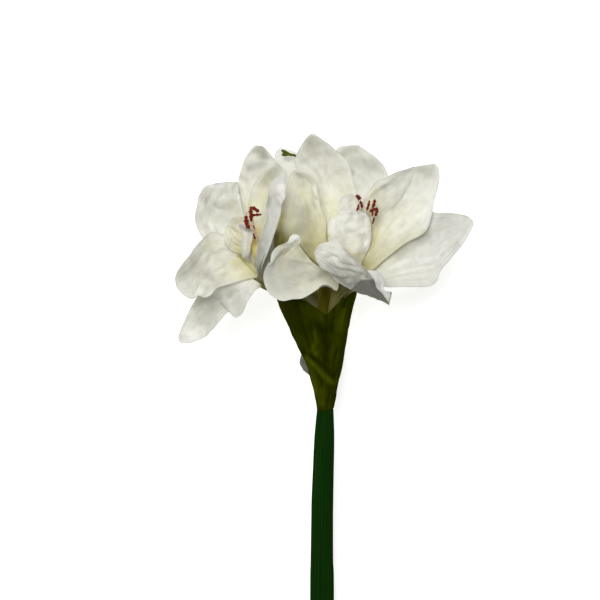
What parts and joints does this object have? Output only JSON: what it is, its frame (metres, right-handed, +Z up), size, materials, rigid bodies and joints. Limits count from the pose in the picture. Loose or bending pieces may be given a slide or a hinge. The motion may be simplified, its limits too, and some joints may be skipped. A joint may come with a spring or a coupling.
{
  "type": "cut amaryllis",
  "caption": "Cut amaryllis lying on its side: a thick green stem, a papery sheath and open trumpet blooms with waved white petals, curled throats and red stamens.",
  "frame": {"origin": "middle of the flower's outline as seen from above, at the surface it lies on", "axes": "+Y along the stem from its cut end towards the blooms, +Z up, +X to the right when looking down with the blooms away from the viewer"},
  "size_m": [0.2528, 0.5938, 0.1356],
  "materials": {
    "petal": "soft matte white petal with fine ribs and a yellow-green throat",
    "stamen": "thin pale filaments with matte dark red pollen heads",
    "pistil": "matte olive green style and parted tip",
    "stem": "satin very dark green skin with fine lengthwise ribs",
    "spathe": "satin olive green leaf skin with veins and a brownish edge"
  },
  "bodies": {
    "root": {"stem": "stem", "spathe": "spathe", "perianth_left": "petal", "perianth_right": "petal", "perianth_back": "petal", "stamens_left": "stamen", "stamens_right": "stamen", "stamens_back": "stamen", "pistil_back": "pistil"}
  },
  "joints": []
}
